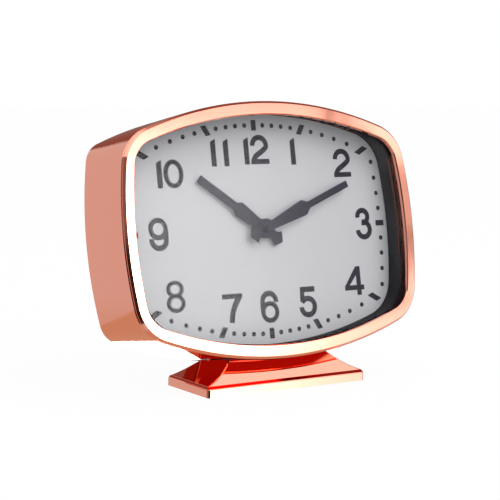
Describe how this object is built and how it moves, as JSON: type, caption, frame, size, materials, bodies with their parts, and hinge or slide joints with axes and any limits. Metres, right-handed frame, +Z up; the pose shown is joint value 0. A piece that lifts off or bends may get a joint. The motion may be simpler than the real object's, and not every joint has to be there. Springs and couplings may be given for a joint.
{
  "type": "table clock",
  "caption": "Table clock with a copper-plated barrel case leaning back on a flared foot, a numbered dial behind flat glass, paddle hands and a battery movement set from the back.",
  "frame": {"origin": "on the table, under the middle of the foot's pad", "axes": "+Z up, the dial faces -Y and leans back, +X to the right of someone who reads the dial"},
  "size_m": [0.1856, 0.0676, 0.1513],
  "materials": {
    "copper_plate": "polished copper plating on metal",
    "clear_glass": "clear and polished",
    "surround_plastic": "black moulded plastic",
    "dial_sheet": "satin silver-white",
    "hand_metal": "dark grey satin",
    "cap_metal": "dark grey satin",
    "cover_plastic": "black fine grain",
    "screw_steel": "zinc plated",
    "pad_rubber": "matt black",
    "movement_plastic": "black moulded plastic",
    "knob_plastic": "pale moulded plastic",
    "gear_plastic": "natural acetal",
    "turned_brass": "turned",
    "contact_steel": "nickel plated",
    "cell_jacket": "plain dark jacket",
    "board_resin": "green board",
    "crystal_can": "plain can",
    "bobbin_plastic": "natural plastic",
    "winding_copper": "enamelled copper wire",
    "stator_iron": "soft iron"
  },
  "bodies": {
    "clock": {"case_shell": "copper_plate", "bezel": "copper_plate", "lens": "clear_glass", "dial_surround": "surround_plastic", "dial_plate": "dial_sheet", "rear_cover": "cover_plastic", "rear_cover_screws": "screw_steel", "foot": "copper_plate", "base_pad": "pad_rubber", "foot_screws": "screw_steel", "movement_front_housing": "movement_plastic", "movement_rear_housing": "movement_plastic", "dial_washer": "pad_rubber", "bush_nut": "turned_brass", "contact_positive": "contact_steel", "contact_negative": "contact_steel", "circuit_board": "board_resin", "quartz_crystal": "crystal_can", "stator": "stator_iron", "coil_bobbin": "bobbin_plastic", "coil_winding": "winding_copper"},
    "minute_hand_group": {"minute_arbor": "turned_brass", "minute_hand": "hand_metal", "hand_cap": "cap_metal"},
    "hour_hand_group": {"hour_wheel": "gear_plastic", "hour_hand": "hand_metal"},
    "motion_wheel_group": {"motion_wheel": "gear_plastic"},
    "set_knob_group": {"set_knob": "knob_plastic"},
    "seconds_wheel_group": {"seconds_wheel": "gear_plastic"},
    "third_wheel_group": {"third_wheel": "gear_plastic"},
    "minute_wheel_group": {"minute_wheel": "gear_plastic"},
    "intermediate_wheel_group": {"intermediate_wheel": "gear_plastic"},
    "rotor_group": {"rotor": "gear_plastic"},
    "battery_group": {"battery_cell": "cell_jacket"}
  },
  "joints": [
    {"name": "minute_hand_turn", "type": "hinge", "parent": "clock", "child": "minute_hand_group", "pos_m": [0, 0.0074, 0.0828], "axis": [0, 0.981, -0.1942], "continuous": true},
    {"name": "hour_hand_turn", "type": "hinge", "parent": "clock", "child": "hour_hand_group", "pos_m": [0, 0.0074, 0.0828], "axis": [0, 0.981, -0.1942], "continuous": true},
    {"name": "motion_wheel_turn", "type": "hinge", "parent": "clock", "child": "motion_wheel_group", "pos_m": [-0.00985, 0.00706, 0.0811], "axis": [0, 0.981, -0.1942], "continuous": true},
    {"name": "set_knob_turn", "type": "hinge", "parent": "clock", "child": "set_knob_group", "pos_m": [-0.0166, 0.00863, 0.08899], "axis": [0, 0.981, -0.1942], "continuous": true},
    {"name": "seconds_wheel_turn", "type": "hinge", "parent": "clock", "child": "seconds_wheel_group", "pos_m": [0, 0.0074, 0.0828], "axis": [0, 0.981, -0.1942], "continuous": true},
    {"name": "third_wheel_turn", "type": "hinge", "parent": "clock", "child": "third_wheel_group", "pos_m": [0.01005, 0.00706, 0.08106], "axis": [0, 0.981, -0.1942], "continuous": true},
    {"name": "minute_wheel_turn", "type": "hinge", "parent": "clock", "child": "minute_wheel_group", "pos_m": [0, 0.0074, 0.0828], "axis": [0, 0.981, -0.1942], "continuous": true},
    {"name": "intermediate_wheel_turn", "type": "hinge", "parent": "clock", "child": "intermediate_wheel_group", "pos_m": [-0.00152, 0.00907, 0.09125], "axis": [0, 0.981, -0.1942], "continuous": true},
    {"name": "rotor_turn", "type": "hinge", "parent": "clock", "child": "rotor_group", "pos_m": [0.00423, 0.01001, 0.09598], "axis": [0, 0.981, -0.1942], "continuous": true},
    {"name": "battery_slide", "type": "slide", "parent": "clock", "child": "battery_group", "axis": [0, 0.981, -0.1942], "range_m": [0, 0.03]}
  ],
  "couplings": [
    {"joint": "hour_hand_turn", "follows": "minute_hand_turn", "ratio": 0.083333},
    {"joint": "motion_wheel_turn", "follows": "minute_hand_turn", "ratio": -0.33333},
    {"joint": "set_knob_turn", "follows": "minute_hand_turn", "ratio": 0.83333},
    {"joint": "third_wheel_turn", "follows": "seconds_wheel_turn", "ratio": -0.13333},
    {"joint": "minute_wheel_turn", "follows": "seconds_wheel_turn", "ratio": 0.016667},
    {"joint": "intermediate_wheel_turn", "follows": "seconds_wheel_turn", "ratio": -6},
    {"joint": "rotor_turn", "follows": "seconds_wheel_turn", "ratio": 30}
  ]
}
